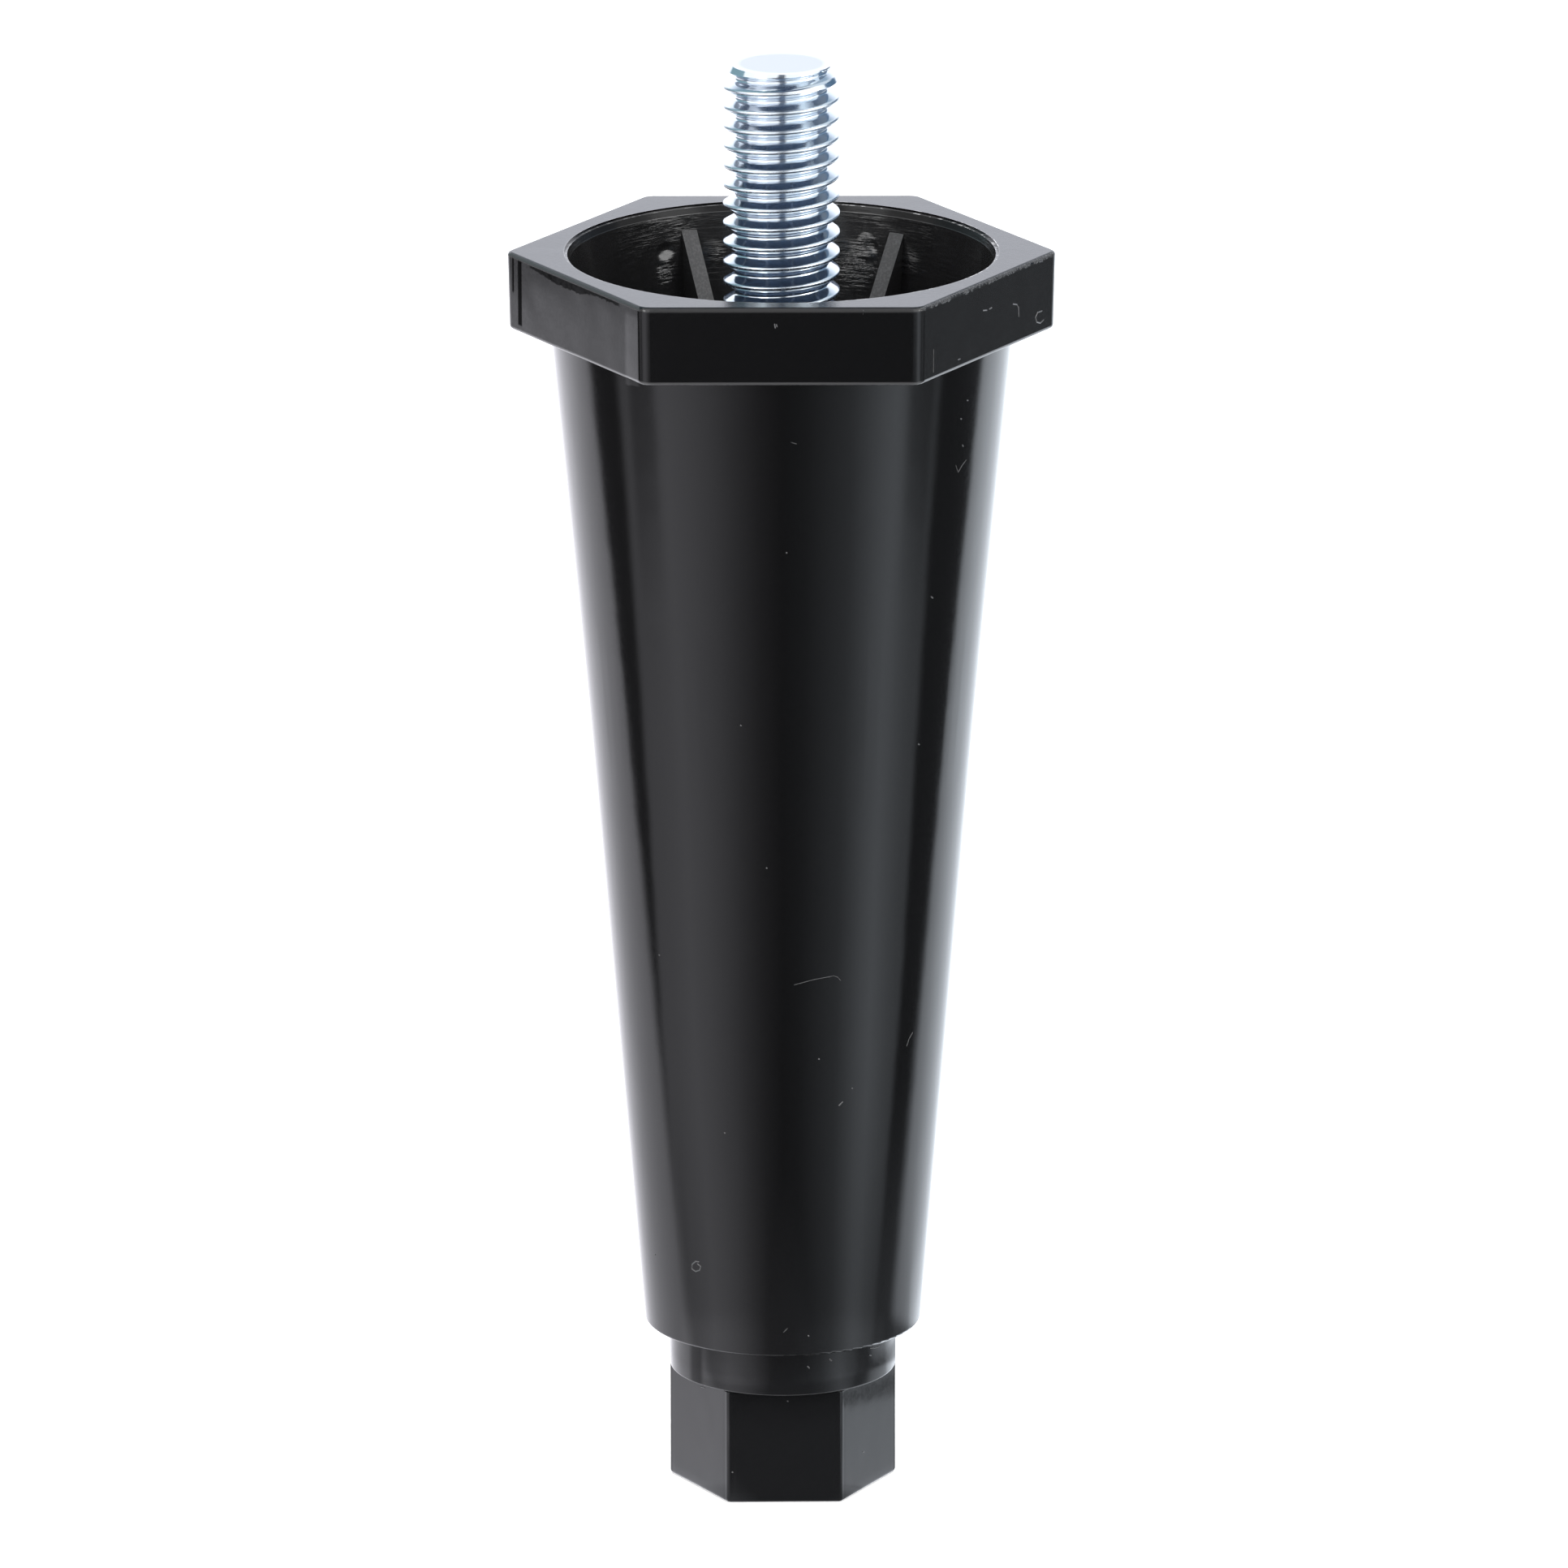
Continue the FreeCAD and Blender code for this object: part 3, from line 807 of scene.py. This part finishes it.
def leg_material():
    """Black plastic of the leg: glossy outside, tool marks and painted light in the recess, dull
    rib tops with painted light, a rim with painted highlights, and wear and painted highlights on the
    flange."""
    material, n = new_material("leg_plastic")
    at = leg_places(n)
    wear_and_light = flange_wear_and_light(n, at)
    grain = n.noise(at.mm, 3.2, 3.0)
    wave = n.noise(at.mm, 0.22, 1.0)
    speckle = n.noise(at.mm, 5.0, 2.0)

    # Rim of the recess: a ledge with a painted highlight and painted glints, a dull slope and a faint
    # painted highlight line under it
    ledge = n.times(at.inside, n.step(at.up, 0.9, 0.98), n.step(at.depth, 0.3, 0.5, 1.0, 0.0))
    painted_glints = n.times(n.step(n.noise(at.mm, 1.5, 2.0), 0.52, 0.62), n.step(at.x, -2.0, 4.0, 0.25, 1.0))
    slope = n.times(at.wall, n.math("LESS_THAN", at.depth, 0.66))
    rim_highlight = n.times(at.inside, n.band(at.depth, 0.67, 0.71, 0.03))
    # Painted highlight: a pale speckled line round the leg's lower end edge
    end_edge_highlight = n.times(n.step(n.minus(at.z, LEG_LOW), 0.1, 0.2, 1.0, 0.0),
                       n.step(at.reach, 10.9, 11.0))

    height = n.plus(n.times(wave, 0.02), n.times(grain, 0.0008), tool_marks(n, at),
                    n.times(speckle, at.rib_top, 0.03), n.times(grain, at.top, 0.004),
                    n.times(speckle, wear_and_light.worn, 0.12))
    rough = n.plus(n.step(grain, 0.3, 0.7, 0.10, 0.14), n.times(at.top, 0.05),
                   n.times(at.rib_top, 0.35), n.times(at.wall, 0.06), n.times(wear_and_light.worn, 0.15))
    # Gloss: lowered on the slope and the left face's ragged band and lines; raised on the left face's
    # strip as a painted highlight
    gloss = n.plus(0.5, n.times(slope, -0.4), n.times(wear_and_light.dulled_gloss, -0.49), n.times(wear_and_light.strip, 0.7))
    # Paler base colour: painted light on the upward-facing rib tops and on the recess wall, painted
    # highlights on the rim and the edges, painted glints on the ledge, and real wear on the right
    # face's chips
    pale = n.plus(n.times(at.rib_top, 0.8), n.times(rim_highlight, 0.45), n.times(wear_and_light.worn, 0.7),
                  n.times(wear_and_light.eased_edge_highlight, 0.9), n.times(at.wall, 0.28), n.times(wear_and_light.front_edge_highlight, 0.7),
                  n.times(wear_and_light.lower_edge_highlight, 1.2), n.times(end_edge_highlight, speckle),
                  n.times(at.rib_top, n.step(speckle, 0.45, 0.65, 0.0, 0.5)),
                  n.times(ledge, n.plus(1.4, n.times(painted_glints, 9.0))))
    finish_material(n, {"Base Color": n.mix_color(n.times(pale, 0.1), LEG_BLACK, LEG_WEAR_AND_PAINTED_LIGHT),
                        "Roughness": rough, "IOR": PLASTIC_IOR,
                        "Specular IOR Level": gloss, "Normal": relief(n, height)})
    return material


def worn_material():
    """Plastic whitened by a scratch or a knock."""
    material, n = new_material("worn_plastic")
    grain = n.noise(in_millimetres(n), 6.0, 2.0)
    finish_material(n, {"Base Color": n.mix_color(grain, MARK_DARK, MARK_PALE),
                        "Roughness": n.step(grain, 0.3, 0.7, 0.2, 0.4), "IOR": PLASTIC_IOR})
    return material


# Marks on the leg and the foot, as lines through pixels of the photograph
FRONT_SPECK = ((954.3, 399), (955.3, 404.5))
FRONT_SPECK_2 = ((956.6, 399.5), (957.4, 403))
FRONT_STREAK = ((1063.8, 382), (1063.5, 388))
RIGHT_SPECK = ((1211, 382.5), (1216, 382))
RIGHT_SPECK_2 = ((1218.5, 381), (1222, 379))
RIGHT_HOOK = ((1247.8, 374.5), (1253, 375.2), (1255, 379), (1255.3, 390))
RIGHT_EDGE_DOT = ((1180, 443.2), (1183, 442.2))
RIGHT_RING = ((1284, 383), (1278.5, 385), (1275.8, 391), (1277.5, 397), (1282, 398), (1286, 394))
RIGHT_STREAK = ((1150.2, 430), (1150, 459))
BODY_DASH = ((974.5, 545), (981.5, 547))
BODY_DOT = ((968.3, 681), (970, 681.5))
LEFT_DOT = ((912, 893.5), (913.6, 894.5))
EDGE_DOT = ((1191.3, 493), (1192.8, 493.4))
EDGE_DOT_2 = ((1183.4, 515.6), (1184.8, 516.4))
EDGE_DOT_3 = ((1185.5, 548), (1187, 550))
EDGE_DOT_4 = ((1147, 735), (1149.5, 737))
CHECK_SCRATCH = ((1177.5, 573), (1180.5, 582), (1185, 574), (1190.5, 566.5))
RIGHT_DOT = ((1131, 916.6), (1133, 917.4))
MIDDLE_DOT = ((943.8, 1069.2), (945.4, 1070))
LONG_SCRATCH = ((978.6, 1213.6), (1003, 1207), (1026.8, 1202.5), (1032, 1204), (1035.7, 1208))
LOW_DOT = ((1008.2, 1304.6), (1009.8, 1305.4))
LOW_DOT_2 = ((1049.2, 1340.6), (1050.8, 1341.4))
SLANTED_DASH = ((1033.5, 1362.5), (1038.5, 1357.5))
LOW_LEFT_DOT = ((892.2, 1395.6), (893.8, 1396.4))
FAINT_SCRATCH = ((1124.5, 1272), (1120, 1280), (1117, 1289))
SIDE_DOT = ((811.8, 1176.4), (813.2, 1177.6))
SMALL_RING = ((861.5, 1555), (857, 1554.2), (852.6, 1558), (852.6, 1563.5), (857, 1566.6),
              (862, 1565), (863.4, 1560.5), (859, 1557))
NEAR_END_DOT = ((806.3, 1545), (807.7, 1546))
END_DASH = ((965.5, 1641.5), (970.5, 1636.5))
END_DOT = ((995.2, 1645.6), (996.8, 1646.4))
COLLAR_TOP_BURR = ((1072, 1661), (1079, 1660.5), (1084, 1658.5))
COLLAR_SPECK = ((1021.8, 1674), (1025, 1677))
COLLAR_SPECK_2 = ((994.8, 1683.2), (997.4, 1686))
COLLAR_BURR = ((1071, 1669.5), (1073.5, 1670))
RIM_BURR = ((863.5, 1708.6), (868.5, 1710))
HEX_SPECK = ((969.6, 1726.2), (971.4, 1727))
HEX_SPECK_2 = ((1063.2, 1788.6), (1064.8, 1789.4))
HEX_SPECK_3 = ((901.6, 1813.6), (903.2, 1814.4))
FINE_MARKS = (FRONT_STREAK, LONG_SCRATCH, FAINT_SCRATCH, RIGHT_STREAK, BODY_DASH, CHECK_SCRATCH,
              END_DASH)
LEG_MARKS = (FRONT_SPECK, FRONT_SPECK_2, FRONT_STREAK, RIGHT_SPECK, RIGHT_SPECK_2, RIGHT_HOOK,
             RIGHT_EDGE_DOT, RIGHT_RING, RIGHT_STREAK, BODY_DASH, BODY_DOT, LEFT_DOT, EDGE_DOT,
             EDGE_DOT_2, EDGE_DOT_3, EDGE_DOT_4, CHECK_SCRATCH, RIGHT_DOT, MIDDLE_DOT,
             LONG_SCRATCH, LOW_DOT, LOW_DOT_2, SLANTED_DASH, LOW_LEFT_DOT, FAINT_SCRATCH,
             SIDE_DOT, SMALL_RING, NEAR_END_DOT, END_DASH, END_DOT)
FOOT_MARKS = (COLLAR_TOP_BURR, COLLAR_SPECK, COLLAR_SPECK_2, COLLAR_BURR, RIM_BURR,
              HEX_SPECK, HEX_SPECK_2, HEX_SPECK_3)

# Marks in millimetres: widths, height over the surface and depth in it
MARK_WIDTH = 0.16
FINE_WIDTH = 0.08
MARK_HEIGHT = 0.045
MARK_SUNK = 0.02


def surface_point(tree, pixel):
    """Where the sight line through a photo pixel meets a piece, and the way it faces."""
    camera = scene.camera.matrix_world
    middle = PHOTO_PIXELS / 2
    sight = Vector((pixel[0] - middle, middle - pixel[1], -FOCAL_PIXELS))
    place, normal, _, _ = tree.ray_cast(camera.translation, camera.to_3x3() @ sight.normalized())
    return place, normal


def between(points, spacing=3.0):
    """The points with more of them in between."""
    dense = [points[0]]
    for (ax, ay), (bx, by) in zip(points, points[1:]):
        count = max(1, round(math.hypot(bx - ax, by - ay) / spacing))
        dense += [(ax + (bx - ax) * k / count, ay + (by - ay) * k / count)
                  for k in range(1, count + 1)]
    return dense


def build_marks(name, carrier, marks):
    """Low ridges on the carrier, one for each mark, let into its surface."""
    tree = BVHTree.FromObject(carrier, bpy.context.evaluated_depsgraph_get())
    verts, faces = [], []
    for mark in marks:
        spots = [surface_point(tree, pixel) for pixel in between(mark)]
        start = len(verts)
        width = FINE_WIDTH if mark in FINE_MARKS else MARK_WIDTH
        for k, (place, normal) in enumerate(spots):
            ahead = spots[min(k + 1, len(spots) - 1)][0] - spots[max(k - 1, 0)][0]
            across = normal.cross(ahead).normalized() * (width / 2 * MM)
            low = place - normal * (MARK_SUNK * MM)
            crest = place + normal * (MARK_HEIGHT * MM)
            crest.y = max(crest.y, cad_box[0].y)
            verts += [low - across, crest, low + across]
        for k in range(len(spots) - 1):
            a, b = start + 3 * k, start + 3 * k + 3
            faces += [(a, a + 1, b + 1, b), (a + 1, a + 2, b + 2, b + 1), (a + 2, a, b, b + 2)]
        last = len(verts) - 3
        faces += [(start, start + 2, start + 1), (last, last + 1, last + 2)]
    mesh = bpy.data.meshes.new(name)
    mesh.from_pydata(verts, [], faces)
    shape = bmesh.new()
    shape.from_mesh(mesh)
    bmesh.ops.recalc_face_normals(shape, faces=shape.faces)
    shape.to_mesh(mesh)
    shape.free()
    return link(bpy.data.objects.new(name, mesh))


scene.view_settings.view_transform = "Standard"
add_camera()
add_lamps()
build_world()
add_floor()

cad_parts["leg_body"].data.materials[0] = leg_material()

stud = build_stud()
stud.data.materials.append(zinc_material())
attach(stud, "leg")
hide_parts("mounting_stud")

foot = build_foot()
foot.data.materials.append(foot_material())
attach(foot, "foot")
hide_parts("levelling_foot")

bpy.context.view_layer.update()
worn = worn_material()
for name, carrier, marks, body, slot in (
    ("leg_marks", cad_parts["leg_body"], LEG_MARKS, "leg", "leg_plastic"),
    ("foot_marks", foot, FOOT_MARKS, "foot", "foot_plastic"),
):
    piece = build_marks(name, carrier, marks)
    piece.data.materials.append(worn)
    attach(piece, body)

bpy.context.view_layer.update()
